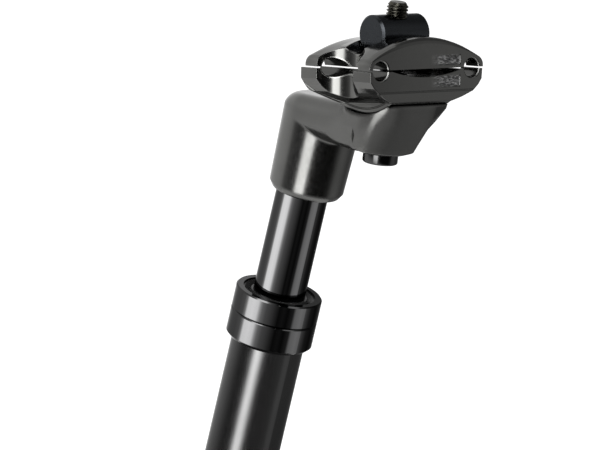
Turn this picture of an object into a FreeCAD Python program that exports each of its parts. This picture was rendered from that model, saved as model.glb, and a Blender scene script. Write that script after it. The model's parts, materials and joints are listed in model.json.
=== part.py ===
import FreeCAD, Part
import math
import os

# Telescopic bicycle seatpost with a single-bolt saddle clamp. Millimetres.
# Origin: centre of the outer tube's lower end. +Z: up the post. +X: to the rear. +Y: the bike's right.

V = FreeCAD.Vector
os.makedirs("parts", exist_ok=True)

# Outer tube and collar
post_d = 27.2
post_wall = 2.4
post_top_z = 245.0
spigot_cut = 0.6
collar_d = 32.4
ring_low_z = 230.0
ring_h = 10.7
nut_h = 9.0
nut_rim = 2.6
nut_edge = 0.5
ring_edge = 1.4
seal_h = 2.7
lip_w = 0.7
lip_h = 1.6
flange_h = 1.2

# Sliding tube and its travel
tube_d = 19.5
tube_wall = 2.5
tube_low_z = 146.0
travel = 35.0
show_len = 40.9
slide_fit = 0.05
seat_fit = 0.02
cut_past = 1.0

# Guide keys
key_count = 3
key_w = 3.0
key_len = 24.0
key_low_z = 186.0
key_depth = 0.9
key_gap = 0.1
groove_under = 1.5
groove_over = 1.0

# Inner pieces
bush_low_z = 178.3
foot_bush_h = 20.0
ring_clip_h = 1.2
clip_depth = 0.7
clip_mouth = 4.0
top_bumper_h = 8.0
rest_gap = 0.3
rod_d = 9.0
rod_low_z = 100.0
rod_flange_h = 3.0
rod_plug_h = 12.0
wire_d = 3.2
spring_d = 20.6
spring_turns = 8
spring_steps = 14
wire_sides = 6
plug_low_z = 2.0
plug_h = 20.0
plug_edge = 1.0
hex_af = 8.0
hex_deep = 12.0
washer_h = 1.6
washer_fit = 0.2
buffer_d = 12.0
buffer_h = 30.0
buffer_waist = 1.2
buffer_nose = 2.0

# Head forging
socket_d = 27.8
socket_shift = 1.3
socket_bore_deep = 25.0
socket_taper = 1.8
socket_edge_r = 1.2
socket_edge_h = 1.9
arm_top_at_axis = 37.7
arm_slope = 13.2
arm_belly_at_axis = 21.6
arm_belly_slope = 9.5
arm_top_r = 6.5
arm_block_w = 30.0
arm_belly_r = 12.5
arm_turn_x = 20.0
arm_back_x = 34.0
seat_r = 28.7
seat_gap = 0.3

# Clamp pivot, bolt and cross nut
pivot_x = 28.4
pivot_up = 72.3
bolt_lean = 9.5
bolt_d = 8.0
bolt_tip = 11.7
bolt_tip_edge = 1.0
bolt_hole_fit = 0.25
bolt_fit = 0.04
boss_reach = 44.0
boss_corner_r = 1.2
# Height above the foot, reach forward and rearward of the bolt, share of the arm's half width,
# front corner radius and rear corner radius of each station of the boss.
boss_stations = (
    (26.0, 11.0, 18.6, 1.01, 8.0, boss_corner_r), (19.0, 11.0, 16.9, 1.01, 8.0, 2.0),
    (14.0, 11.0, 15.6, 1.01, 8.0, 7.2), (10.0, 11.2, 14.6, 1.01, 8.5, 12.2),
    (3.8, 11.4, 12.6, 0.9, 9.5, 12.9), (1.1, 11.0, 11.5, 0.8, 10.0, 11.4), (0.0, 8.8, 8.8, 0.62, 8.5, 8.7),
)
head_bolt_d = 13.0
head_bolt_h = 8.0
head_bolt_edge = 0.6
head_bolt_out = 4.3
bolt_hex_af = 6.0
bolt_hex_deep = 4.0
bolt_washer_h = 1.2
bolt_washer_fit = 0.1
nut_d = 14.0
nut_len = 23.0
nut_end_edge = 0.8
nut_fit = 0.1

# Rail clamp
rail_d = 7.0
rail_spacing = 44.0
rail_below = 12.2
rail_tilt = 18.0
jaw_gap = 0.6
clamp_w = 54.8
upper_half_len = 17.8
lower_front = 20.0
upper_front = 17.6
front_crest = 10.4
rear_crest = 11.7
upper_end_h = 1.3
shoulder_in = 1.5
shoulder_up = 2.7
edge_in = 3.0
edge_down = 2.2
end_share = 0.25
wall_drop = 8.3
# Lower jaw's end outlines: share of the way out from the foot to the full width, and depth below the rails
rear_outline = ((0.98, 0.3), (0.96, 4.0), (0.84, 6.2), (0.66, 8.3), (0.36, 10.4), (0.04, 11.9))
front_outline = ((1.0, 0.3), (1.0, 4.2), (0.87, 6.6), (0.71, 9.0), (0.44, 11.0), (0.11, 13.6))
seat_from = -35.0
seat_to = 33.0
saddle_half = 13.8
recess_r = 11.4
recess_mid = 29.3
lower_recess_r = 10.2
lower_recess_shift = -1.6
lens_half = 16.5
lens_depth = 2.4
rail_edge = 0.45
tilt_up = 8.0
tilt_down = 10.0
slot_side_gap = 0.4
slot_end_gap = 0.4

# Derived places
post_r = post_d / 2
post_bore_r = post_r - post_wall
spigot_r = post_r - spigot_cut
tube_r = tube_d / 2
tube_bore_r = tube_r - tube_wall
collar_r = collar_d / 2
nut_low_z = ring_low_z + ring_h
nut_top_z = nut_low_z + nut_h
socket_z = nut_top_z + show_len
socket_r = socket_d / 2
socket_slope = math.tan(math.radians(socket_taper))
bush_r = tube_r + slide_fit
pivot = V(pivot_x, 0, socket_z + pivot_up)
clamp_r = seat_r - seat_gap / 2
cradle_r = seat_r + seat_gap / 2


def cyl(r, z0, z1):
    return Part.makeCylinder(r, z1 - z0, V(0, 0, z0))


def ring(r0, r1, z0, z1):
    return cyl(r1, z0, z1).cut(cyl(r0, z0, z1))


def turned(points):
    """Solid of revolution about Z from (radius, height) points."""
    wire = Part.makePolygon([V(r, 0, z) for r, z in points + points[:1]])
    return Part.Face(wire).revolve(V(0, 0, 0), V(0, 0, 1), 360)


def hexagon(af, z0, z1):
    r = af / math.sqrt(3)
    ends = [V(r * math.cos(math.radians(a)), r * math.sin(math.radians(a)), z0) for a in range(0, 361, 60)]
    return Part.Face(Part.makePolygon(ends)).extrude(V(0, 0, z1 - z0))


def at_bolt(shape):
    """Moves a shape drawn about the origin to the bolt's axis, +Z pointing at the bolt's tip."""
    turn = FreeCAD.Rotation(V(0, 1, 0), -bolt_lean)
    shape.Placement = FreeCAD.Placement(pivot, turn).multiply(shape.Placement)
    return shape


def at_clamp(shape):
    """Moves a shape drawn about the pivot, X along the rails, to the clamp's resting tilt."""
    turn = FreeCAD.Rotation(V(0, 1, 0), -rail_tilt)
    shape.Placement = FreeCAD.Placement(pivot, turn).multiply(shape.Placement)
    return shape


def save(name, shape):
    if shape.ShapeType == "Compound" and len(shape.Solids) == 1:
        shape = shape.Solids[0]
    shape.exportStep("parts/" + name + ".step")


# Outer tube, collar and seal

def outer_tube():
    """Tube with a turned spigot on top, which carries the collar."""
    return turned([
        (post_bore_r, 0), (post_r, 0), (post_r, ring_low_z), (spigot_r, ring_low_z),
        (spigot_r, post_top_z), (post_bore_r, post_top_z),
    ])


def collar_lower_ring():
    e = ring_edge
    return turned([
        (spigot_r, ring_low_z), (collar_r - e, ring_low_z), (collar_r, ring_low_z + e),
        (collar_r, nut_low_z - nut_edge), (collar_r - nut_edge, nut_low_z), (spigot_r, nut_low_z),
    ])


def collar_top_nut():
    mouth = collar_r - nut_rim
    seat_z = post_top_z + flange_h
    e = nut_edge
    return turned([
        (spigot_r, nut_low_z), (collar_r - e, nut_low_z), (collar_r, nut_low_z + e),
        (collar_r, nut_top_z - e), (collar_r - e, nut_top_z), (mouth, nut_top_z),
        (mouth, seat_z), (spigot_r, seat_z),
    ])


def wiper_seal():
    """Seal with a lip against the sliding tube and a groove behind it."""
    low = post_top_z + flange_h
    inner = tube_r + slide_fit
    outer = collar_r - nut_rim
    top = low + seal_h
    return turned([
        (inner, low), (outer, low), (outer, top), (outer - lip_w, top),
        (inner + 2 * lip_w, low + seal_h - lip_h), (inner + lip_w, top), (inner, top),
    ])


# Guide for the sliding tube

def key_prisms(width, r0, r1, z0, z1):
    bars = []
    for i in range(key_count):
        bar = Part.makeBox(r1 - r0, width, z1 - z0, V(r0, -width / 2, z0))
        bar.rotate(V(0, 0, 0), V(0, 0, 1), 90 + i * 360 / key_count)
        bars.append(bar)
    return bars


def guide_keys():
    bars = key_prisms(key_w, tube_r - key_depth, post_bore_r + cut_past, key_low_z, key_low_z + key_len)
    inside = cyl(post_bore_r - seat_fit, key_low_z, key_low_z + key_len)
    return Part.makeCompound([bar.common(inside) for bar in bars])


def upper_bushing():
    sleeve = ring(bush_r, post_bore_r - seat_fit, bush_low_z, post_top_z)
    flange = ring(bush_r, spigot_r, post_top_z, post_top_z + flange_h)
    slots = key_prisms(key_w + 2 * seat_fit, tube_r - cut_past, post_bore_r + cut_past,
                       key_low_z - seat_fit, key_low_z + key_len + seat_fit)
    return sleeve.fuse(flange).cut(Part.makeCompound(slots)).removeSplitter()


def inner_tube():
    top = socket_z + socket_bore_deep - rest_gap
    tube = ring(tube_bore_r, tube_r, tube_low_z, top)
    groove_top = key_low_z + key_len + travel + groove_over
    grooves = key_prisms(key_w + 2 * key_gap, tube_r - key_depth - key_gap, tube_r + cut_past,
                         key_low_z - groove_under, groove_top)
    clip_z = tube_low_z + ring_clip_h
    clip = ring(tube_r - clip_depth, tube_r + cut_past, clip_z, clip_z + ring_clip_h)
    return tube.cut(Part.makeCompound(grooves)).cut(clip)


def foot_bush_low():
    return tube_low_z + 2 * ring_clip_h


def lower_slide_bush():
    low = foot_bush_low()
    return ring(tube_r + seat_fit, post_bore_r - slide_fit, low, low + foot_bush_h)


def retaining_ring():
    low = tube_low_z + ring_clip_h
    clip = ring(tube_r - clip_depth + seat_fit, tube_r + clip_depth, low, low + ring_clip_h)
    mouth = Part.makeBox(tube_d, clip_mouth, ring_clip_h, V(0, -clip_mouth / 2, low))
    return clip.cut(mouth)


def top_out_bumper():
    low = foot_bush_low() + foot_bush_h
    high = bush_low_z - rest_gap
    return ring(tube_r + seat_fit, post_bore_r - rest_gap, low, min(high, low + top_bumper_h))


# Spring and what holds it

def spring_guide_rod():
    flange_low = tube_low_z - rod_flange_h
    flange = cyl(spring_d / 2, flange_low, tube_low_z)
    plug = cyl(tube_bore_r - seat_fit, tube_low_z, tube_low_z + rod_plug_h)
    rod = cyl(rod_d / 2, rod_low_z, flange_low)
    return flange.fuse([plug, rod]).removeSplitter()


def spring_ends():
    low = plug_low_z + plug_h + washer_h
    return low, tube_low_z - rod_flange_h


def main_spring():
    """Coil swept along short straight runs with mitred corners, its wire six-sided."""
    low, high = spring_ends()
    r = wire_d / 2
    mean = (spring_d - wire_d) / 2
    z0 = low + r + seat_fit
    rise = high - r - seat_fit - z0
    steps = spring_turns * spring_steps
    spots = []
    for i in range(steps + 1):
        a = 2 * math.pi * i / spring_steps
        spots.append(V(mean * math.cos(a), mean * math.sin(a), z0 + rise * i / steps))
    along = (spots[1] - spots[0]).normalize()
    out = (V(1, 0, 0) - along * along.x).normalize()
    up = along.cross(out)
    corners = []
    for i in range(wire_sides + 1):
        a = 2 * math.pi * (i + 0.5) / wire_sides
        corners.append(spots[0] + out * (r * math.cos(a)) + up * (r * math.sin(a)))
    section = Part.makePolygon(corners)
    return Part.Wire(Part.makePolygon(spots)).makePipeShell([section], True, False, 1)


def lower_spring_washer():
    low = plug_low_z + plug_h
    return ring(buffer_d / 2 + washer_fit, spring_d / 2, low, low + washer_h)


def bottom_out_bumper():
    """Buffer with a waist and a blunt nose."""
    low = plug_low_z + plug_h
    high = low + buffer_h
    r = buffer_d / 2
    waist = r - buffer_waist
    waist_z = low + buffer_h / 2
    return turned([
        (0, low), (r, low), (r, waist_z - 2 * buffer_waist), (waist, waist_z),
        (r, waist_z + 2 * buffer_waist), (r, high - buffer_nose), (r - buffer_nose, high), (0, high),
    ])


def preload_plug():
    r = post_bore_r - seat_fit
    high = plug_low_z + plug_h
    body = turned([
        (0, plug_low_z), (r - plug_edge, plug_low_z), (r, plug_low_z + plug_edge),
        (r, high - plug_edge), (r - plug_edge, high), (0, high),
    ])
    return body.cut(hexagon(hex_af, plug_low_z, plug_low_z + hex_deep))


# Head forging

def rounded_wire(origin, across, up, box, radii):
    """Closed wire in the plane of across and up. box is (a0, a1, b0, b1) and radii go
    round from the corner (a0, b0) to (a1, b0), (a1, b1) and (a0, b1)."""
    a0, a1, b0, b1 = box
    spots = [(a0, b0, 1, 1), (a1, b0, -1, 1), (a1, b1, -1, -1), (a0, b1, 1, -1)]

    def point(a, b):
        return origin + across * a + up * b

    arcs = []
    for i, (a, b, sa, sb) in enumerate(spots):
        r = radii[i]
        k = r * (1 - math.sqrt(0.5))
        along_b = point(a, b + sb * r)
        along_a = point(a + sa * r, b)
        middle = point(a + sa * k, b + sb * k)
        ends = (along_b, along_a) if i % 2 == 0 else (along_a, along_b)
        arcs.append((ends[0], middle, ends[1]))
    edges = []
    for i, (start, middle, end) in enumerate(arcs):
        edges.append(Part.Arc(start, middle, end).toShape())
        edges.append(Part.makeLine(end, arcs[(i + 1) % 4][0]))
    return Part.Wire(edges)


def socket_half(z):
    """Radius of the tapered socket at a height above its lower rim, the arm's half width too."""
    return socket_r + socket_slope * (z - socket_edge_h)


def side_prism(corners):
    """Solid across the whole head from (x, z) corners about the socket's rim."""
    reach = 2 * socket_d
    wire = Part.makePolygon([V(x, -reach, socket_z + z) for x, z in corners + corners[:1]])
    return Part.Face(wire).extrude(V(0, 2 * reach, 0))


def belly_trough():
    """Half-round trough that bounds the arm's belly."""
    half = socket_half(arm_top_at_axis) + cut_past
    slope = math.tan(math.radians(arm_belly_slope))
    start_x = -socket_r
    run = arm_back_x + cut_past - start_x
    box = (-half, half, arm_belly_at_axis + start_x * slope, pivot_up)
    section = rounded_wire(V(start_x, 0, socket_z), V(0, 1, 0), V(0, 0, 1), box,
                           (arm_belly_r, arm_belly_r, cut_past, cut_past))
    return Part.Face(section).extrude(V(run, 0, run * slope))


def tapered_socket(top):
    socket = turned([
        (0, 0), (socket_r - socket_edge_r, 0), (socket_r, socket_edge_h), (socket_half(top), top), (0, top),
    ])
    socket.translate(V(socket_shift, 0, socket_z))
    return socket


def arm_slab():
    """Rearward run of the arm: its sides carry the socket's taper on, its belly turns steeper."""
    low, high = socket_half(0), socket_half(pivot_up)
    spots = [(-low, 0), (low, 0), (high, pivot_up), (-high, pivot_up)]
    wire = Part.makePolygon([V(socket_shift, y, socket_z + z) for y, z in spots + spots[:1]])
    block = Part.Face(wire).extrude(V(arm_back_x - socket_shift, 0, 0))
    lean = math.radians(bolt_lean)
    foot_x = pivot_x + boss_reach * math.sin(lean)
    foot_z = pivot_up - boss_reach * math.cos(lean) + math.tan(lean) * (arm_back_x - foot_x)
    slope = math.tan(math.radians(arm_belly_slope))
    return block.common(side_prism([
        (0, arm_belly_at_axis), (arm_turn_x, arm_belly_at_axis + slope * arm_turn_x), (arm_back_x, foot_z),
        (arm_back_x, pivot_up), (0, pivot_up),
    ]))


def arm_top_block():
    """Block with a round front whose sloping top has its rim rounded over."""
    half = arm_block_w / 2
    disc = Part.makeCylinder(half, pivot_up, V(socket_shift, 0, socket_z))
    slab = Part.makeBox(arm_back_x - socket_shift, arm_block_w, pivot_up, V(socket_shift, -half, socket_z))
    rise = math.tan(math.radians(arm_slope))
    front, rear = -socket_d, arm_back_x + cut_past
    below = side_prism([
        (front, -cut_past), (rear, -cut_past), (rear, arm_top_at_axis + rise * rear),
        (front, arm_top_at_axis + rise * front),
    ])
    block = disc.fuse(slab).removeSplitter().common(below)
    rim = []
    for edge in block.Edges:
        on_top = [abs(v.Z - socket_z - arm_top_at_axis - rise * v.X) < 0.001 for v in edge.Vertexes]
        at_back = [abs(v.X - arm_back_x) < 0.001 for v in edge.Vertexes]
        if all(on_top) and not all(at_back):
            rim.append(edge)
    return block.makeFillet(arm_top_r, rim)


def arm_and_socket():
    """Tapered socket and set-back arm in one."""
    body = tapered_socket(pivot_up).fuse(arm_slab().common(belly_trough())).removeSplitter()
    return body.common(arm_top_block())


def boss_body():
    """Bolt boss: a block with crisp rear corners at the cradle that grow into a round foot."""
    wires = []
    wide = socket_half(arm_top_at_axis)
    for height, front, rear, share, front_r, rear_r in boss_stations:
        half = share * wide
        box = (-front, rear, -half, half)
        level = V(0, 0, height - boss_reach)
        wires.append(rounded_wire(level, V(1, 0, 0), V(0, 1, 0), box, (front_r, rear_r, rear_r, front_r)))
    return at_bolt(Part.makeLoft(wires, True, True))


def head_forging():
    body = arm_and_socket().fuse(boss_body())
    wide = socket_half(arm_top_at_axis)
    seat = Part.makeCylinder(cradle_r, 4 * wide, pivot - V(0, 2 * wide, 0), V(0, 1, 0))
    bore = cyl(tube_r + seat_fit, socket_z, socket_z + socket_bore_deep)
    hole = at_bolt(Part.makeCylinder(bolt_d / 2 + bolt_hole_fit, 2 * boss_reach, V(0, 0, -2 * boss_reach)))
    sink_top = -boss_reach + head_bolt_h - head_bolt_out + bolt_washer_h
    sink_r = head_bolt_d / 2 + bolt_hole_fit
    sink = at_bolt(Part.makeCylinder(sink_r, boss_reach, V(0, 0, sink_top - boss_reach)))
    return body.cut([seat, bore, hole, sink]).removeSplitter()


# Bolt, washer and cross nut

def bolt_seat():
    """Height of the face under the bolt's head, from the pivot along the bolt."""
    return -boss_reach + head_bolt_h - head_bolt_out


def clamp_bolt():
    r = bolt_d / 2 - bolt_fit
    seat = bolt_seat()
    shank = turned([
        (0, seat), (r, seat), (r, bolt_tip - bolt_tip_edge), (r - bolt_tip_edge, bolt_tip), (0, bolt_tip),
    ])
    head_r = head_bolt_d / 2
    low = seat - head_bolt_h
    e = head_bolt_edge
    head = turned([(0, low), (head_r - e, low), (head_r, low + e), (head_r, seat), (0, seat)])
    socket = hexagon(bolt_hex_af, low, low + bolt_hex_deep)
    return at_bolt(shank.fuse(head).cut(socket).removeSplitter())


def bolt_washer():
    seat = bolt_seat()
    return at_bolt(ring(bolt_d / 2 + bolt_washer_fit, head_bolt_d / 2, seat, seat + bolt_washer_h))


def barrel_nut():
    r = nut_d / 2
    half = nut_len / 2
    e = nut_end_edge
    body = turned([(0, -half), (r - e, -half), (r, e - half), (r, half - e), (r - e, half), (0, half)])
    body.rotate(V(0, 0, 0), V(1, 0, 0), 90)
    thread = Part.makeCylinder(bolt_d / 2, nut_d, V(0, 0, -r))
    return at_bolt(body.cut(thread))


# Rail clamp. Drawn about the pivot: X along the rails, Y across, Z off the saddle plane.

def across_face(x, points):
    return Part.Wire(Part.makePolygon([V(x, y, z) for y, z in points + points[:1]]))


def both_sides(points):
    """Outline from its right half, the half listed from the top middle down."""
    return points + [(-y, z) for y, z in reversed(points)]


def rail_cuts():
    cuts = []
    reach = lower_front + upper_half_len
    for side in (-1, 1):
        base = V(-lower_front - cut_past, side * rail_spacing / 2, -rail_below)
        cuts.append(Part.makeCylinder(rail_d / 2, reach + 2 * cut_past, base, V(1, 0, 0)))
    return cuts


def rail_edge_cuts(front, rear):
    cones = []
    r = rail_d / 2
    for side in (-1, 1):
        y = side * rail_spacing / 2
        for x, way in ((front, 1), (rear, -1)):
            cones.append(Part.makeCone(r + rail_edge, r, rail_edge, V(x, y, -rail_below), V(way, 0, 0)))
    return cones


def recess_cuts(radius, shift):
    return [
        Part.makeCylinder(radius, 4 * rail_below, V(shift, side * recess_mid, -3 * rail_below))
        for side in (-1, 1)
    ]


def bolt_slot(low, high):
    """Slot that clears the bolt over the whole tilt."""
    off = rail_tilt - bolt_lean
    r = bolt_d / 2 + slot_side_gap
    deep = max(abs(low), abs(high))
    fore = deep * math.tan(math.radians(off + tilt_up)) + slot_end_gap
    back = deep * math.tan(math.radians(tilt_down - off)) + slot_end_gap
    ends = [Part.makeCylinder(r, high - low, V(x, 0, low)) for x in (-fore, back)]
    middle = Part.makeBox(fore + back, 2 * r, high - low, V(-fore, -r, low))
    return ends[0].fuse([ends[1], middle])


def crest_wire(x, crest, end_h):
    """Outline across the upper jaw at x: flat below, upright ends, round shoulders, one arc over the top."""
    half = clamp_w / 2
    low = -rail_below + jaw_gap / 2
    end_z = low + end_h
    bend_r = (shoulder_in ** 2 + shoulder_up ** 2) / (2 * shoulder_in)
    turn = math.asin(shoulder_up / bend_r) / 2
    bend_in = bend_r * (1 - math.cos(turn))
    bend_up = bend_r * math.sin(turn)
    edges = []
    for side in (1, -1):
        foot = V(x, side * half, end_z)
        bend = V(x, side * (half - bend_in), end_z + bend_up)
        top = V(x, side * (half - shoulder_in), end_z + shoulder_up)
        edges.append(Part.Arc(foot, bend, top).toShape())
        edges.append(Part.makeLine(foot, V(x, side * half, low)))
    ends = [V(x, side * (half - shoulder_in), end_z + shoulder_up) for side in (1, -1)]
    edges.append(Part.Arc(ends[0], V(x, 0, -rail_below + crest), ends[1]).toShape())
    edges.append(Part.makeLine(V(x, half, low), V(x, -half, low)))
    return Part.Wire(Part.__sortEdges__(edges))


def upper_clamp():
    """Low wall in front, higher wall behind, the trough for the cross nut between them."""
    wires = []
    for end, crest, way in ((-upper_front, front_crest, 1), (upper_half_len, rear_crest, -1)):
        for angle in (90, 60, 30, 0)[::way]:
            lift = edge_down * (1 - math.cos(math.radians(angle)))
            x = end + way * edge_in * (1 - math.sin(math.radians(angle)))
            wires.append(crest_wire(x, crest - lift, upper_end_h - lift * end_share))
    body = Part.makeLoft(wires, True, True)
    half = clamp_w / 2
    trough = Part.makeCylinder(nut_d / 2 + nut_fit, clamp_w, V(0, -half, 0), V(0, 1, 0))
    cuts = [trough, bolt_slot(-rail_below - cut_past, rear_crest - rail_below)] + rail_cuts()
    cuts += recess_cuts(recess_r, 0) + rail_edge_cuts(-upper_front, upper_half_len)
    return at_clamp(body.cut(cuts).removeSplitter())


def lower_side():
    """Side outline: flat top, upright ends, slopes down to the round seat."""
    top = -rail_below - jaw_gap / 2
    wall = -rail_below - wall_drop
    a0 = math.radians(seat_from)
    a1 = math.radians(seat_to)

    def seat_point(a):
        return V(clamp_r * math.sin(a), 0, -clamp_r * math.cos(a))

    corners = [V(upper_half_len, 0, top), V(-lower_front, 0, top), V(-lower_front, 0, wall), seat_point(a0)]
    edges = [Part.makeLine(corners[i], corners[i + 1]) for i in range(3)]
    edges.append(Part.Arc(seat_point(a0), seat_point(0), seat_point(a1)).toShape())
    edges.append(Part.makeLine(seat_point(a1), V(upper_half_len, 0, wall)))
    edges.append(Part.makeLine(V(upper_half_len, 0, wall), corners[0]))
    face = Part.Face(Part.Wire(edges))
    face.translate(V(0, -clamp_w, 0))
    return face.extrude(V(0, 2 * clamp_w, 0))


def lower_clamp():
    top = -rail_below - jaw_gap / 2
    foot = -clamp_r - cut_past
    spread = clamp_w / 2 - saddle_half
    ends = []
    for x, outline in ((-lower_front, front_outline), (upper_half_len, rear_outline)):
        half = [(saddle_half + share * spread, -rail_below - below) for share, below in outline]
        ends.append(across_face(x, both_sides(half + [(saddle_half, foot)])))
    body = Part.makeLoft(ends, True, True)
    body = body.common(lower_side())
    lens_r = (lens_half ** 2 + lens_depth ** 2) / (2 * lens_depth)
    lens = Part.makeCylinder(lens_r, 4 * upper_half_len + lower_front,
                             V(-2 * lower_front, 0, top - lens_depth + lens_r), V(1, 0, 0))
    cuts = [lens, bolt_slot(-clamp_r - cut_past, top)] + rail_cuts()
    cuts += recess_cuts(lower_recess_r, lower_recess_shift) + rail_edge_cuts(-lower_front, upper_half_len)
    return at_clamp(body.cut(cuts).removeSplitter())


pieces = (
    outer_tube, collar_lower_ring, collar_top_nut, wiper_seal, guide_keys, upper_bushing, inner_tube,
    lower_slide_bush, retaining_ring, top_out_bumper, spring_guide_rod, main_spring, lower_spring_washer,
    bottom_out_bumper, preload_plug, head_forging, clamp_bolt, bolt_washer, barrel_nut, upper_clamp,
    lower_clamp,
)
for piece in pieces:
    save(piece.__name__, piece())
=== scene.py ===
import json
import math

import bpy
from mathutils import Matrix, Vector


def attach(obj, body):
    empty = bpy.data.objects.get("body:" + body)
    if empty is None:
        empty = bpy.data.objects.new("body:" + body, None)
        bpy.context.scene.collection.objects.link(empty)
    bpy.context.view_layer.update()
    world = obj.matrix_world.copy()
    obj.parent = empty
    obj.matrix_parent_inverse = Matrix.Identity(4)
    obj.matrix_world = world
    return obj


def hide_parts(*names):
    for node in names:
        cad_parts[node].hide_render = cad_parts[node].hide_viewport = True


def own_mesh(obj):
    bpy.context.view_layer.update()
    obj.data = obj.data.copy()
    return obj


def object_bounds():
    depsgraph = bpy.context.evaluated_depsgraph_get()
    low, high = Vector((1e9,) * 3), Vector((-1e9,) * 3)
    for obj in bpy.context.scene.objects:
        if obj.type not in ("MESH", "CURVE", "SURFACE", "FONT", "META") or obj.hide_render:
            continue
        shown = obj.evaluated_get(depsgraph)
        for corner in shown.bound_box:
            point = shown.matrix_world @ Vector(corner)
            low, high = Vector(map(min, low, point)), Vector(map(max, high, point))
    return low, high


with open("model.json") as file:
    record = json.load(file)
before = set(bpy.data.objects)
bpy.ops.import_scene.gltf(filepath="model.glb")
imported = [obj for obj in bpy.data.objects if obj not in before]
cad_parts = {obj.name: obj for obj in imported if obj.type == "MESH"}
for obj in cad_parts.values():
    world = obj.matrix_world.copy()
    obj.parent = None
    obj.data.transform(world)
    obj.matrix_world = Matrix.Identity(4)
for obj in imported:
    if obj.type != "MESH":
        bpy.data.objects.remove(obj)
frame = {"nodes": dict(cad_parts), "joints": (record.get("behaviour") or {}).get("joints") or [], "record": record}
nodes = frame["nodes"]
cad_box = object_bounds()
scene = bpy.context.scene
scene.view_settings.view_transform = "Standard"

# Sizes and places in metres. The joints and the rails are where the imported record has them.
joints = {joint["name"]: joint for joint in frame["joints"]}
rail = {mount["name"]: mount for mount in frame["record"]["mounts"]}["rail_right"]
PIVOT = Vector(joints["clamp_tilt"]["pos_m"])

# The jaws: places along the rails, across them and off their plane are distances from the pivot. Those of
# the pads' two rows are from the rails' own height, and the painted highlight round each rail hole and the painted
# shade within it are measured from a rail's axis.
RAIL_TILT = math.atan2(rail["axis"][2], rail["axis"][0])
RAIL_HALF_SPACING = rail["pos_m"][1]
RAIL_R = rail["dims"]["r_mm"] / 1000
RAIL_OFF = (Vector(rail["pos_m"]) - PIVOT).dot(Vector((-math.sin(RAIL_TILT), 0, math.cos(RAIL_TILT))))
# Edges of the painted shade within the rail holes, and of the painted highlight round their mouths
HOLE_EDGE = (RAIL_R + 0.00002, RAIL_R + 0.0001)
RIM_HIGHLIGHT, RIM_HIGHLIGHT_FADE = (RAIL_R + 0.00006, RAIL_R + 0.00042), 0.00006
# The middle of the jaws, where a painted highlight brightens the alloy
WAIST_ALONG = (-0.009, 0.008)
WAIST_ACROSS = 0.018
WAIST_OFF = (-0.022, -0.002)
WAIST_FADE = 0.001
PAD_FADE_IN = (0.002, 0.008)
PAD_ACROSS = (0.002, 0.0162)
PAD_ABOVE_RAIL = (0.0016, 0.0049)
PAD_BELOW_RAIL = (-0.0064, -0.0026)
PAD_REAR = (0.016, 0.0164)
PAD_END_FADE, PAD_SIDE_FADE = 0.00025, 0.0005
PAD_GRAIN, PAD_STRETCH = 2000.0, (1, 0.3, 1)
PAD_DEPTH = 0.0006
SEAT_R = 0.0287
CREASE = (SEAT_R - 0.002, SEAT_R - 0.00155)
CREASE_FADE, CREASE_DEPTH = 0.00015, 0.0004
JAW_EDGE = 0.0005

# The head: its boss, and the corner where the arm runs into the boss
BOSS_FROM, BOSS_TO = 0.018, 0.025
BOSS_FOOT, BOSS_TOP = 0.318, 0.344
BOSS_MIDDLE = 0.029
BOSS_FOOT_DEEP, BOSS_TOP_DEEP = 0.0105, 0.0185
BOSS_HALF_WIDTH = 0.0138
BOSS_TAPER = 0.30
# How far up or down a face may look to count as a wall
WALL_TIP, WALL_TIP_FADE = (-0.8, 0.4), 0.12
CORNER = (0.024, -0.012, 0.336)
CORNER_INNER, CORNER_OUTER = 0.014, 0.020
CORNER_ROUND = 0.0065
HEAD_EDGE = 0.0018

# The bolt: heights are from the pivot along the bolt.
LEAN = math.radians(9.5)
AROUND = 72
SHARP = math.radians(35)
BOLT_R = 0.004
BOLT_TIP = 0.0117
BOLT_SEAT = -0.0403
THREAD_FOOT = -0.010
THREAD_RUN_OUT = 0.002
THREAD_PITCH = 0.00125
THREAD_DEPTH = 0.00068
THREAD_PLAY = 0.00004
THREAD_STEP = 0.000078
THREAD_FLAT, THREAD_FLANK = 0.1, 0.72
TIP_BEVEL, TIP_SLOPE = 0.00115, 0.75
TIP_DISH = 0.00012
HEAD_R, HEAD_HIGH = 0.0065, 0.008
# The edge at the end of the head: points given inwards from its side and upwards from its end
HEAD_ROUND = ((0.001, 0), (0.0006, 0.0001), (0.00025, 0.0003), (0, 0.0007))
HEAD_BEVEL = 0.0002
SHANK_R = 0.00395
HEX_FLATS, HEX_DEEP = 0.006, 0.004

# The camera that fits the photo: angles, distance, and the pixel where the pivot shows
CAMERA_AZ = math.radians(46.208)
CAMERA_EL = math.radians(16.763)
CAMERA_ROLL = math.radians(13.216)
CAMERA_DIST = 3.0
PX_PER_M = 2752.0
PIVOT_PX = (394.614, 33.209)
FRAME_W, FRAME_H = 600, 450
SENSOR = 36


# Camera

def camera_axes():
    az, el, roll = CAMERA_AZ, CAMERA_EL, CAMERA_ROLL
    out = Vector((math.sin(az) * math.cos(el), -math.cos(az) * math.cos(el), math.sin(el)))
    right = Vector((math.cos(az), math.sin(az), 0))
    up = out.cross(right)
    c, s = math.cos(roll), math.sin(roll)
    return (right * c + up * s, -right * s + up * c, out)


def make_camera():
    right, up, out = camera_axes()
    focal = PX_PER_M * CAMERA_DIST
    base = Matrix((right, up, out)).transposed()
    aim = Vector(((PIVOT_PX[0] - FRAME_W / 2) / focal, (FRAME_H / 2 - PIVOT_PX[1]) / focal, -1))
    turn = Vector((0, 0, -1)).rotation_difference(aim.normalized()).to_matrix()
    data = bpy.data.cameras.new("camera")
    data.sensor_width = SENSOR
    data.lens = focal * SENSOR / FRAME_W
    data.clip_end = 50
    cam = bpy.data.objects.new("camera", data)
    cam.matrix_world = Matrix.Translation(PIVOT + out * CAMERA_DIST) @ (base @ turn.transposed()).to_4x4()
    scene.collection.objects.link(cam)
    scene.camera = cam


make_camera()


# Node helpers

def is_socket(value):
    return hasattr(value, "is_output")


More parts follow.
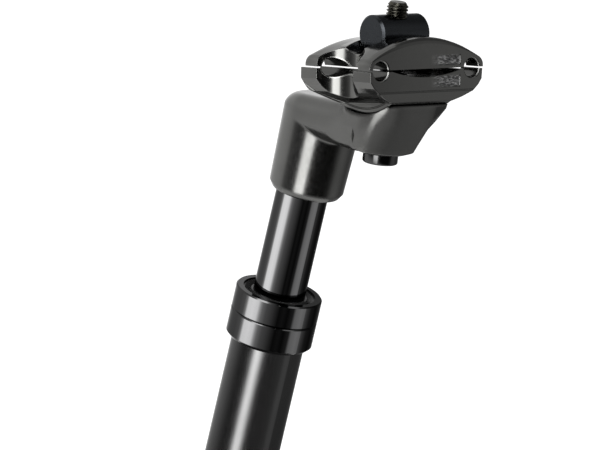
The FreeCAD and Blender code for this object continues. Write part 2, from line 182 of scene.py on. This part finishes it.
def tree_of(name):
    mat = bpy.data.materials.new(name)
    mat.use_nodes = True
    tree = mat.node_tree
    return mat, tree, tree.nodes["Principled BSDF"]


def node(tree, kind, inputs=(), **props):
    """New node with its properties set and its inputs linked, or set where a value isn't a socket."""
    new = tree.nodes.new(kind)
    for key, value in props.items():
        setattr(new, key, value)
    for key, value in dict(inputs).items():
        if is_socket(value):
            tree.links.new(value, new.inputs[key])
        else:
            new.inputs[key].default_value = value
    return new


def maths(tree, operation, a, b=0.0, **props):
    return node(tree, "ShaderNodeMath", {0: a, 1: b}, operation=operation, **props).outputs[0]


def times(tree, first, *others):
    for other in others:
        first = maths(tree, "MULTIPLY", first, other)
    return first


def inverse(tree, value):
    """1 minus the value."""
    return maths(tree, "SUBTRACT", 1.0, value)


def vector_maths(tree, operation, a, b=(0, 0, 0)):
    new = node(tree, "ShaderNodeVectorMath", {0: a, 1: b}, operation=operation)
    return new.outputs["Value" if operation in ("LENGTH", "DISTANCE", "DOT_PRODUCT") else "Vector"]


def vector_of(tree, x, y, z=0.0):
    return node(tree, "ShaderNodeCombineXYZ", {"X": x, "Y": y, "Z": z}).outputs[0]


def parts_of(tree, vector):
    return node(tree, "ShaderNodeSeparateXYZ", {0: vector}).outputs


def spread_over(tree, value, low, high, to_low=0.0, to_high=1.0, kind="LINEAR"):
    """to_low where the value is low, to_high where it is high, and even between them."""
    return node(tree, "ShaderNodeMapRange", {"Value": value, "From Min": low, "From Max": high,
                                             "To Min": to_low, "To Max": to_high},
                interpolation_type=kind).outputs["Result"]


def smooth_step(tree, value, low, high):
    return spread_over(tree, value, low, high, kind="SMOOTHSTEP")


def within(tree, value, low, high, fade):
    """1 between low and high, with soft borders."""
    rise = smooth_step(tree, value, low - fade, low + fade)
    return times(tree, rise, inverse(tree, smooth_step(tree, value, high - fade, high + fade)))


def near(tree, place, centre, inner, outer):
    """1 within the inner distance of a point, 0 beyond the outer one."""
    far = vector_maths(tree, "DISTANCE", place, centre)
    return inverse(tree, smooth_step(tree, far, inner, outer))


def ramp(tree, factor, stops):
    """Colours or grey levels along the factor, from (place, value) pairs."""
    new = node(tree, "ShaderNodeValToRGB", {"Fac": factor})
    elements = new.color_ramp.elements
    stops = sorted(stops)
    while len(elements) < len(stops):
        elements.new(0.5)
    for element, (place, value) in zip(elements, stops):
        element.position = place
        element.color = (value, value, value, 1) if isinstance(value, (int, float)) else (*value, 1)
    return new.outputs["Color"]


def blend(tree, mask, a, b):
    """Colour a, turning to b where the mask is 1."""
    ends = {key: value if is_socket(value) else (*value, 1) for key, value in (("A", a), ("B", b))}
    return node(tree, "ShaderNodeMix", {"Factor": mask, **ends}, data_type="RGBA").outputs["Result"]


def blend_levels(tree, mask, a, b):
    """Number a, turning to b where the mask is 1."""
    mix = node(tree, "ShaderNodeMix", {"Factor": mask, "A": a, "B": b}, data_type="FLOAT")
    return mix.outputs["Result"]


def noise(tree, place, scale, detail):
    new = node(tree, "ShaderNodeTexNoise", {"Vector": place, "Scale": scale, "Detail": detail})
    return new.outputs["Fac"]


def stretched(tree, place, scale):
    return node(tree, "ShaderNodeMapping", {"Vector": place, "Scale": scale}).outputs["Vector"]


def glow_of(tree, strength):
    return node(tree, "ShaderNodeEmission", {"Strength": strength})


def scaled(colour, gain):
    """The colour times a number, up to full white."""
    return tuple(min(1.0, c * gain) for c in colour)


def grey(level):
    return (level, level, level)


# A material in the making

# Metal darker than this gets a dimmer rim, or the white room would show in it from the side.
DARK = 0.1
DARK_RIM, DARK_RIM_GAIN = 0.45, 2.6
DARK_GLOSS = 0.1
CLOUD_SIZE, CLOUD_DETAIL = 90.0, 5.0
CLOUD_STOPS = (0.3, 0.7)
FINE_DETAIL = 4.0
FINE_STOPS = (0.25, 0.75)
# Pointiness where the corners are brightened: scuffs, and a painted highlight along the edges
WORN_LIT_FROM, WORN_LIT_TO = 0.50, 0.56
# Reach, openness and colour share of the painted shade in crevices
SHADE_REACH = 0.006
SHADE_CLOSED, SHADE_OPEN = 0.15, 0.75
SHADE_LEVEL = 0.15
RELIEF_DEPTH = 0.00004
RELIEF_SIZE, RELIEF_DETAIL = 1400.0, 3.0


class Look:
    """Material with cloudy colour and uneven gloss. Its paint, gloss, metallic and normal sockets can be
    changed step by step, and done() links them to the shader."""

    def __init__(self, name, colour, rough, spread=0.05, tint=0.08, grain=900.0, stretch=(1, 1, 1)):
        self.mat, self.tree, self.shader = tree_of(name)
        self.colour = colour
        self.place = node(self.tree, "ShaderNodeTexCoord").outputs["Object"]
        self.grain_place = stretched(self.tree, self.place, stretch)
        cloud = noise(self.tree, self.place, CLOUD_SIZE, CLOUD_DETAIL)
        fine = noise(self.tree, self.grain_place, grain, FINE_DETAIL)
        tones = scaled(colour, 1 - tint), scaled(colour, 1 + tint)
        self.paint = ramp(self.tree, cloud, zip(CLOUD_STOPS, tones))
        self.gloss = ramp(self.tree, fine, zip(FINE_STOPS, (rough - spread, rough + spread)))
        self.metallic = 1.0
        self.normal = None
        if max(colour) < DARK:
            rim = DARK_RIM + DARK_RIM_GAIN * max(colour)
            self.shader.inputs["Specular Tint"].default_value = (*grey(rim), 1)
            self.shader.inputs["Specular IOR Level"].default_value = DARK_GLOSS

    def cover(self, mask, paint, gloss=None):
        """Another colour, and another gloss if one is given, where the mask is 1."""
        self.paint = blend(self.tree, mask, self.paint, paint)
        if gloss is not None:
            self.gloss = blend(self.tree, mask, self.gloss, grey(gloss))

    def wear(self, gain):
        """Brightens the corners by that share: scuffs, and a painted highlight along the edges."""
        point = node(self.tree, "ShaderNodeNewGeometry").outputs["Pointiness"]
        worn_and_lit = ramp(self.tree, point, ((WORN_LIT_FROM, 0.0), (WORN_LIT_TO, 1.0)))
        self.cover(worn_and_lit, scaled(self.colour, 1 + gain))

    def shade(self, depth):
        """Paints shade into the crevices."""
        sky = node(self.tree, "ShaderNodeAmbientOcclusion", {"Distance": SHADE_REACH}, samples=8)
        closed = ramp(self.tree, sky.outputs["AO"], ((SHADE_CLOSED, depth), (SHADE_OPEN, 0.0)))
        self.cover(closed, scaled(self.colour, SHADE_LEVEL))

    def round_edges(self, radius):
        """Lets the corners shine as if they were rounded with this radius, a number or a socket."""
        self.normal = node(self.tree, "ShaderNodeBevel", {"Radius": radius}, samples=8).outputs["Normal"]

    def bump(self, height, strength, depth, **props):
        """Adds relief to the normal, on top of what is there."""
        inputs = {"Height": height, "Strength": strength, "Distance": depth}
        relief = node(self.tree, "ShaderNodeBump", inputs, **props)
        if self.normal is not None:
            self.tree.links.new(self.normal, relief.inputs["Normal"])
        self.normal = relief.outputs["Normal"]

    def grain(self, strength, size=RELIEF_SIZE):
        """Fine surface grain."""
        self.bump(noise(self.tree, self.grain_place, size, RELIEF_DETAIL), strength, RELIEF_DEPTH)

    def done(self):
        for name, value in (("Base Color", self.paint), ("Roughness", self.gloss),
                            ("Metallic", self.metallic), ("Normal", self.normal)):
            if is_socket(value):
                self.tree.links.new(value, self.shader.inputs[name])
            elif value is not None:
                self.shader.inputs[name].default_value = value
        return self.mat


def metal(name, colour, rough, relief=0.0, wear=0.0, **grain):
    """Metal with grain in relief and with brightened corners, scuffed and with a painted highlight, each where it
    is given.
    """
    look = Look(name, colour, rough, **grain)
    if wear:
        look.wear(wear)
    if relief:
        look.grain(relief)
    return look.done()


def soft(name, colour, rough, grain=700.0, relief=0.4, tint=0.1):
    """Rubber or plastic with a fine moulded grain."""
    look = Look(name, colour, rough, spread=0.06, tint=tint, grain=grain)
    look.metallic = 0.0
    look.grain(relief, grain)
    return look.done()


# The jaws' alloy: a painted highlight in the middle, painted shade within the rail holes and a painted highlight
# round their mouths, rough-cast pads and a fine groove

# Gains of the painted highlight in the middle of the jaws and of the painted shade within the rail holes
WAIST_HIGHLIGHT_GAIN, HOLE_SHADE_GAIN = 2.6, 0.75
# Colour and gloss of the painted highlight round the rail holes' mouths
RIM_HIGHLIGHT_TONE, RIM_HIGHLIGHT_ROUGH = (0.3, 0.3, 0.29), 0.3
PAD_TONES = ((0.36, 0.06), (0.50, 0.16), (0.66, 0.5))
PAD_ROUGH, PAD_DULL = 0.35, 0.15
PAD_LOW, PAD_HIGH = -1.0, -0.4


def jaw_axes(tree, place):
    """Distances from the pivot along the rails, across them and off their plane."""
    from_pivot = vector_maths(tree, "SUBTRACT", place, PIVOT)
    c, s = math.cos(RAIL_TILT), math.sin(RAIL_TILT)
    return [vector_maths(tree, "DOT_PRODUCT", from_pivot, axis)
            for axis in ((c, 0, s), (0, 1, 0), (-s, 0, c))]


def waist_highlight(tree, along, across, off):
    """Mask of the middle of the jaws, between the rails and above the curved foot, where a painted highlight
    brightens the alloy.
    """
    return times(tree, within(tree, along, *WAIST_ALONG, WAIST_FADE),
                 within(tree, across, -WAIST_ACROSS, WAIST_ACROSS, WAIST_FADE),
                 within(tree, off, *WAIST_OFF, WAIST_FADE))


def rail_holes(tree, across, off):
    """Masks of the painted shade within the rail holes and of the painted highlight round their mouths."""
    place = vector_of(tree, maths(tree, "ABSOLUTE", across), off)
    far = vector_maths(tree, "DISTANCE", place, (RAIL_HALF_SPACING, RAIL_OFF, 0))
    return inverse(tree, smooth_step(tree, far, *HOLE_EDGE)), within(tree, far, *RIM_HIGHLIGHT, RIM_HIGHLIGHT_FADE)


def pads(tree, along, across, off):
    """Mask of the rough-cast pads beside the right rail hole on the rear of both jaws."""
    sides = times(tree, smooth_step(tree, across, *PAD_FADE_IN),
                  within(tree, across, *PAD_ACROSS, PAD_END_FADE))
    rows = [within(tree, off, RAIL_OFF + low, RAIL_OFF + high, PAD_SIDE_FADE)
            for low, high in (PAD_ABOVE_RAIL, PAD_BELOW_RAIL)]
    return times(tree, sides, maths(tree, "ADD", *rows), smooth_step(tree, along, *PAD_REAR))


def seat_crease(tree, along, off):
    """Fine groove that follows the curved seat, a little above the foot of the lower jaw."""
    far = vector_maths(tree, "LENGTH", vector_of(tree, along, off))
    return within(tree, far, *CREASE, CREASE_FADE)


def jaw_alloy():
    look = Look("dark_alloy", (0.084, 0.084, 0.081), 0.15, spread=0.04, tint=0.04, grain=500.0)
    tree = look.tree
    along, across, off = jaw_axes(tree, look.place)
    hole_shade, rim_highlight = rail_holes(tree, across, off)
    pad = pads(tree, along, across, off)
    cast = noise(tree, stretched(tree, look.place, PAD_STRETCH), PAD_GRAIN, CLOUD_DETAIL)
    look.wear(0.3)
    look.shade(0.7)
    # Painted highlight in the middle of the jaws, painted shade within the rail holes and a painted highlight
    # round their mouths
    look.cover(waist_highlight(tree, along, across, off), scaled(look.colour, WAIST_HIGHLIGHT_GAIN))
    look.cover(hole_shade, scaled(look.colour, HOLE_SHADE_GAIN))
    look.cover(rim_highlight, RIM_HIGHLIGHT_TONE, gloss=RIM_HIGHLIGHT_ROUGH)
    look.cover(pad, ramp(tree, cast, PAD_TONES), gloss=PAD_ROUGH)
    look.metallic = inverse(tree, times(tree, pad, PAD_DULL))
    look.round_edges(JAW_EDGE)
    look.grain(0.06)
    look.bump(times(tree, pad, spread_over(tree, cast, *FINE_STOPS, PAD_LOW, PAD_HIGH)), 1.0, PAD_DEPTH)
    look.bump(seat_crease(tree, along, off), 1.0, CREASE_DEPTH, invert=True)
    return look.done()


# The head's cast alloy

def boss_normal(tree, place, normal):
    """Normal of the boss's walls, rounded from side to side as on the hand-ground forging and tipped
    towards the boss's foot. Faces that look up or straight down keep theirs."""
    at = parts_of(tree, place)
    deep = spread_over(tree, at["Z"], BOSS_FOOT, BOSS_TOP, BOSS_FOOT_DEEP, BOSS_TOP_DEEP)
    back = maths(tree, "DIVIDE", maths(tree, "SUBTRACT", at["X"], BOSS_MIDDLE), deep, use_clamp=True)
    side = times(tree, at["Y"], 1 / BOSS_HALF_WIDTH)
    wall = vector_of(tree, times(tree, back, back, back), times(tree, side, side, side), -BOSS_TAPER)
    wall = vector_maths(tree, "NORMALIZE", wall)
    on_wall = within(tree, parts_of(tree, normal)["Z"], *WALL_TIP, WALL_TIP_FADE)
    mask = times(tree, smooth_step(tree, at["X"], BOSS_FROM, BOSS_TO), on_wall)
    mix = node(tree, "ShaderNodeMix", {"Factor": mask, 4: normal, 5: wall}, data_type="VECTOR")
    return vector_maths(tree, "NORMALIZE", mix.outputs[1])


def head_alloy():
    look = Look("dark_alloy_head", (0.096, 0.096, 0.093), 0.19, spread=0.06, tint=0.07, grain=700.0)
    look.wear(0.2)
    look.shade(0.5)
    at_corner = near(look.tree, look.place, CORNER, CORNER_INNER, CORNER_OUTER)
    look.round_edges(spread_over(look.tree, at_corner, 0.0, 1.0, HEAD_EDGE, CORNER_ROUND))
    look.normal = boss_normal(look.tree, look.place, look.normal)
    look.grain(0.16)
    return look.done()


# Materials on the CAD nodes

def dress(mat, *names):
    for name in names:
        data = nodes[name].data
        data.materials.clear()
        data.materials.append(mat)


BLACK = metal("black_steel", (0.056, 0.056, 0.056), 0.10, relief=0.05, tint=0.1)
THREAD = metal("thread_steel", (0.064, 0.062, 0.052), 0.28, relief=0.1, spread=0.08, tint=0.15,
               grain=1500.0)
SPRING = metal("spring_steel", (0.30, 0.30, 0.31), 0.30, relief=0.1, spread=0.08, tint=0.12,
               grain=1200.0)

dress(jaw_alloy(), "lower_clamp", "upper_clamp")
dress(head_alloy(), "head_forging")
dress(metal("bright_chrome", (0.054, 0.054, 0.0545), 0.05, spread=0.02, tint=0.02, grain=300.0),
      "inner_tube")
dress(metal("gloss_black", (0.052, 0.052, 0.0525), 0.06, spread=0.02, tint=0.02, grain=400.0),
      "collar_lower_ring", "collar_top_nut")
dress(metal("satin_black", (0.052, 0.052, 0.052), 0.22, relief=0.06, spread=0.04, tint=0.05, grain=1200.0,
            stretch=(1, 1, 0.15)), "outer_tube")
# The nut's and washers' corners are brightened strongly: scuffs, and a painted highlight
dress(metal("zinc_steel", (0.021, 0.0225, 0.0245), 0.26, relief=0.1, wear=0.9, spread=0.08, tint=0.14,
            grain=1500.0, stretch=(1, 0.2, 1)), "barrel_nut", "bolt_washer", "lower_spring_washer")
dress(BLACK, "clamp_bolt")
dress(SPRING, "main_spring", "retaining_ring")
dress(metal("plug_alloy", (0.55, 0.55, 0.57), 0.25, relief=0.08, tint=0.06), "preload_plug")
dress(metal("key_brass", (0.66, 0.48, 0.2), 0.28, spread=0.06), "guide_keys")
dress(soft("seal_rubber", (0.018, 0.018, 0.018), 0.35), "wiper_seal")
dress(soft("bumper_rubber", (0.05, 0.05, 0.048), 0.6), "top_out_bumper", "bottom_out_bumper")
dress(soft("bush_plastic", (0.72, 0.71, 0.66), 0.45, grain=500.0, relief=0.2, tint=0.04),
      "upper_bushing", "lower_slide_bush", "spring_guide_rod")


# The bolt, with its thread

def at_bolt(r, angle, z):
    """Point at a radius and an angle round the bolt's axis, and a height along it from the pivot."""
    x, y = r * math.cos(angle), r * math.sin(angle)
    c, s = math.cos(LEAN), math.sin(LEAN)
    return PIVOT + Vector((x * c - z * s, y, x * s + z * c))


def angles(around):
    return [2 * math.pi * i / around for i in range(around)]


def between(lower, upper, around):
    """Faces between two rings of points, each given by its first point."""
    steps = [(i, (i + 1) % around) for i in range(around)]
    return [(lower + i, lower + j, upper + j, upper + i) for i, j in steps]


def smooth_mesh(name, verts, faces):
    mesh = bpy.data.meshes.new(name)
    mesh.from_pydata(verts, [], faces)
    mesh.update()
    for face in mesh.polygons:
        face.use_smooth = True
    mesh.set_sharp_from_angle(angle=SHARP)
    return mesh


def thread_profile(phase):
    """0 at the root, 1 at the crest, with a narrow flat at each."""
    return min(1.0, max(0.0, (abs(phase * 2 - 1) - THREAD_FLAT) / THREAD_FLANK))


def thread_radius(turn, z):
    """Radius of the thread at a height, for a share of a turn round the bolt."""
    run_out = min(1.0, max(0.0, (z - THREAD_FOOT) / THREAD_RUN_OUT))
    valley = THREAD_DEPTH * (1 - thread_profile((z / THREAD_PITCH - turn) % 1.0)) * run_out
    bevel = BOLT_R - TIP_BEVEL + (BOLT_TIP - z) * TIP_SLOPE
    return min(BOLT_R - THREAD_PLAY - valley, bevel)


def thread_mesh():
    steps = math.ceil((BOLT_TIP - THREAD_FOOT) / THREAD_STEP)
    heights = [THREAD_FOOT + k * THREAD_STEP for k in range(steps)] + [BOLT_TIP]
    verts = [at_bolt(thread_radius(a / (2 * math.pi), z), a, z) for z in heights for a in angles(AROUND)]
    faces = []
    for k in range(len(heights) - 1):
        faces += between(k * AROUND, (k + 1) * AROUND, AROUND)
    top = len(verts)
    verts.append(at_bolt(0, 0, BOLT_TIP - TIP_DISH))
    last = top - AROUND
    faces += [(last + i, last + (i + 1) % AROUND, top) for i in range(AROUND)]
    return smooth_mesh("bolt_thread", verts, faces)


def hexagon_radius(angle):
    """Radius of the hexagon socket at an angle round the bolt."""
    sixth = math.pi / 3
    return HEX_FLATS / 2 / math.cos((angle + sixth / 2) % sixth - sixth / 2)


def head_mesh():
    """The bolt's head and shank, turned from the end of the head upwards, with its hexagon socket."""
    end = BOLT_SEAT - HEAD_HIGH
    profile = [(HEAD_R - inwards, end + up) for inwards, up in HEAD_ROUND]
    profile += [(HEAD_R, BOLT_SEAT - HEAD_BEVEL), (HEAD_R - HEAD_BEVEL, BOLT_SEAT), (SHANK_R, BOLT_SEAT),
                (SHANK_R, THREAD_FOOT)]
    verts = [at_bolt(r, a, z) for r, z in profile for a in angles(AROUND)]
    faces = []
    for k in range(len(profile) - 1):
        faces += [face[::-1] for face in between(k * AROUND, (k + 1) * AROUND, AROUND)]
    mouth = len(verts)
    floor = mouth + AROUND
    verts += [at_bolt(hexagon_radius(a), a, z) for z in (end, end + HEX_DEEP) for a in angles(AROUND)]
    faces += between(0, mouth, AROUND) + between(mouth, floor, AROUND)
    faces.append(tuple(range(floor, floor + AROUND)))
    return smooth_mesh("bolt", verts, faces)


def add(name, mesh, mat, body):
    obj = bpy.data.objects.new(name, mesh)
    mesh.materials.clear()
    mesh.materials.append(mat)
    scene.collection.objects.link(obj)
    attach(obj, body)
    return obj


bolt = add("bolt", head_mesh(), BLACK, "inner")
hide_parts("clamp_bolt")
thread = add("bolt_thread", thread_mesh(), THREAD, "inner")


# The spring, on a copy of the CAD node's mesh that stands in its place

spring = add("spring_coil", nodes["main_spring"].data.copy(), SPRING, "outer")
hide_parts("main_spring")
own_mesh(spring)


# Stage: background and floor

# Strength of the background as it lights the object, and as it is seen
SKY_LIGHT, SKY_SEEN = 0.75, 1.0
FLOOR_HALF = 12.0
FLOOR_GAP = 0.0002
FLOOR_TONE, FLOOR_ROUGH, FLOOR_GLOW = 0.9, 0.9, 0.34


def seen(tree):
    """1 for the rays that show the background: camera, glossy and transmission rays."""
    path = node(tree, "ShaderNodeLightPath").outputs
    either = maths(tree, "MAXIMUM", path["Is Camera Ray"], path["Is Glossy Ray"])
    return maths(tree, "MAXIMUM", either, path["Is Transmission Ray"])


def make_world():
    world = bpy.data.worlds.new("world")
    world.use_nodes = True
    tree = world.node_tree
    back = tree.nodes["Background"]
    back.inputs["Color"].default_value = (1, 1, 1, 1)
    tree.links.new(blend_levels(tree, seen(tree), SKY_LIGHT, SKY_SEEN), back.inputs["Strength"])
    scene.world = world


def make_floor():
    """White floor that keeps the shadow: a pale surface, lifted by a glow where it is seen."""
    mesh = bpy.data.meshes.new("floor")
    s = FLOOR_HALF
    mesh.from_pydata([(-s, -s, 0), (s, -s, 0), (s, s, 0), (-s, s, 0)], [], [(0, 1, 2, 3)])
    obj = bpy.data.objects.new("floor", mesh)
    obj.location = (0, 0, cad_box[0][2] - FLOOR_GAP)
    mat, tree, shader = tree_of("floor")
    shader.inputs["Base Color"].default_value = (*grey(FLOOR_TONE), 1)
    shader.inputs["Roughness"].default_value = FLOOR_ROUGH
    shader.inputs["Specular IOR Level"].default_value = 0.0
    glow = glow_of(tree, seen(tree))
    glow.inputs["Color"].default_value = (*grey(FLOOR_GLOW), 1)
    both = node(tree, "ShaderNodeAddShader", {0: shader.outputs[0], 1: glow.outputs[0]})
    tree.links.new(both.outputs[0], tree.nodes["Material Output"].inputs["Surface"])
    mesh.materials.append(mat)
    scene.collection.objects.link(obj)


make_world()
make_floor()


# Stage: tents of light that only glossy rays see, for the bands in the polished metal

TENT_CENTRE = (0.01, 0, 0.30)
# Half the height of a tent for each metre of its radius
TENT_TALL = 1.5
TENT_AROUND, TENT_RINGS = 96, 48
# Level that counts as full in the ramps
TENT_TOP = 4.0
# Elevations where a tent's low bands end and its own bands begin
LOW_TO_HIGH = [(-37, 0.0), (-26, 1.0)]
# Gain by elevation
EVEN = [(-90, 0.4), (-45, 0.7), (-25, 1.0), (10, 1.0), (60, 0.8), (90, 0.6)]
MATT_EVEN = [(-90, 0.5), (-45, 0.9), (-25, 1.0), (20, 1.05), (34, 0.75), (60, 0.65), (90, 0.6)]
# Bands: level by azimuth, which is 0 towards the camera and grows to the camera's right
BRIGHT_BANDS = [(-180, 0.3), (-128, 0.185), (-106, 0.167), (-90, 0.226), (-82, 0.6), (-76, 2.2), (-60, 2.4),
                (-47, 2.1), (-40, 0.9), (-34, 0.42), (-23, 0.2), (-11, 0.13), (0, 0.06), (11, 0.01),
                (23, 0.02), (35, 0.008), (50, 0.04), (57, 0.38), (74, 0.5), (84, 0.4), (92, 0.12),
                (106, 0.03), (128, 0.01), (180, 0.08)]
SATIN_BANDS = [(-180, 0.3), (-128, 0.38), (-106, 0.24), (-89, 0.13), (-74, 0.05), (-56, 0.05), (-46, 0.1),
               (-38, 0.8), (-30, 3.2), (-18, 3.0), (-8, 0.8), (0, 0.05), (20, 0.05), (45, 0.07), (62, 0.09),
               (72, 0.2), (80, 0.18), (90, 0.08), (110, 0.08), (128, 0.08), (180, 0.08)]
MATT_BANDS = [(-180, 0.6), (-128, 0.6), (-106, 0.55), (-86, 0.46), (-76, 0.16), (-60, 0.07), (-46, 0.07),
              (-38, 0.2), (-31, 2.8), (-10, 3.2), (-4, 0.3), (4, 0.04), (16, 0.01), (58, 0.01), (70, 0.04),
              (82, 0.2), (100, 0.22), (114, 0.16), (128, 0.1), (180, 0.16)]
# For faces that look down: an even tone on the left, darker on the right, with no stripe
MATT_LOW = [(-180, 0.5), (-110, 0.56), (-60, 0.56), (-20, 0.5), (10, 0.4), (50, 0.26), (80, 0.17),
            (110, 0.15), (180, 0.2)]


def tent_mesh(name, radius):
    verts, faces = [], []
    for k in range(TENT_RINGS + 1):
        lift = math.pi * (k / TENT_RINGS - 0.5)
        r = radius * math.cos(lift)
        verts += [(r * math.cos(a), r * math.sin(a), TENT_TALL * radius * math.sin(lift))
                  for a in angles(TENT_AROUND)]
    for k in range(TENT_RINGS):
        faces += between(k * TENT_AROUND, (k + 1) * TENT_AROUND, TENT_AROUND)
    mesh = bpy.data.meshes.new(name)
    mesh.from_pydata(verts, [], faces)
    return mesh


def by_azimuth(tree, turn, bands):
    """Level of the bands as a share of TENT_TOP, for a share of a turn."""
    return ramp(tree, turn, [((azimuth + 180) / 360, level / TENT_TOP) for azimuth, level in bands])


def by_elevation(tree, lift, stops):
    """Gain for a share of the way from straight down to straight up."""
    return ramp(tree, lift, [((elevation + 90) / 180, gain) for elevation, gain in stops])


def tent_light(name, gain, bands, heights, low_bands, open_to_next):
    """Material that glows in bands round the tent. An open tent lets rays on to the tent outside it."""
    mat = bpy.data.materials.new(name)
    mat.use_nodes = True
    tree = mat.node_tree
    tree.nodes.clear()
    at = parts_of(tree, node(tree, "ShaderNodeTexCoord").outputs["Object"])
    turn = spread_over(tree, maths(tree, "ARCTAN2", at["Y"], at["X"]), -math.pi, math.pi)
    reach = vector_maths(tree, "LENGTH", vector_of(tree, at["X"], at["Y"]))
    lift = spread_over(tree, maths(tree, "ARCTAN2", at["Z"], reach), -math.pi / 2, math.pi / 2)
    level = by_azimuth(tree, turn, bands)
    if low_bands:
        upper = by_elevation(tree, lift, LOW_TO_HIGH)
        level = blend_levels(tree, upper, by_azimuth(tree, turn, low_bands), level)
    level = times(tree, level, by_elevation(tree, lift, heights), TENT_TOP * gain)
    surface = glow_of(tree, level).outputs[0]
    if open_to_next:
        clear = node(tree, "ShaderNodeBsdfTransparent").outputs[0]
        surface = node(tree, "ShaderNodeAddShader", {0: surface, 1: clear}).outputs[0]
    node(tree, "ShaderNodeOutputMaterial", {"Surface": surface})
    return mat


def make_tent(name, radius, gain, bands, heights, receivers, low_bands=None, open_to_next=True):
    """Round tent about the object that lights its receivers alone."""
    obj = bpy.data.objects.new(name, tent_mesh(name, radius))
    obj.location = TENT_CENTRE
    obj.rotation_euler = (0, 0, CAMERA_AZ - math.pi / 2)
    obj.data.materials.append(tent_light(name, gain, bands, heights, low_bands, open_to_next))
    scene.collection.objects.link(obj)
    for kind in ("camera", "diffuse", "transmission", "volume_scatter", "shadow"):
        setattr(obj, "visible_" + kind, False)
    group = bpy.data.collections.new(name + "_receivers")
    for receiver in receivers:
        group.objects.link(receiver)
    obj.light_linking.receiver_collection = group


bright = [nodes[n] for n in ("inner_tube", "collar_lower_ring", "collar_top_nut", "wiper_seal")]
matt = [nodes[n] for n in ("head_forging", "lower_clamp", "upper_clamp", "barrel_nut", "bolt_washer",
                           "clamp_bolt")] + [bolt, thread]
make_tent("tent_bright", 0.30, 5.0, BRIGHT_BANDS, EVEN, bright)
make_tent("tent_satin", 0.31, 5.0, SATIN_BANDS, EVEN, [nodes["outer_tube"]])
make_tent("tent_matt", 0.32, 2.5, MATT_BANDS, MATT_EVEN, matt, low_bands=MATT_LOW, open_to_next=False)


# Stage: lamps

LAMPS_AIM = Vector((0, 0, 0.3))


def make_lamp(name, place, size, power):
    data = bpy.data.lights.new(name, "AREA")
    data.shape = "RECTANGLE"
    data.size, data.size_y = size
    data.energy = power
    obj = bpy.data.objects.new(name, data)
    obj.location = place
    obj.rotation_euler = (LAMPS_AIM - Vector(place)).to_track_quat("-Z", "Y").to_euler()
    obj.visible_camera = False
    obj.visible_glossy = False
    scene.collection.objects.link(obj)


make_lamp("key", (0.4, -1.6, 1.6), (1.2, 1.2), 22.0)
make_lamp("fill", (1.6, 0.8, 1.2), (1.4, 1.4), 10.0)
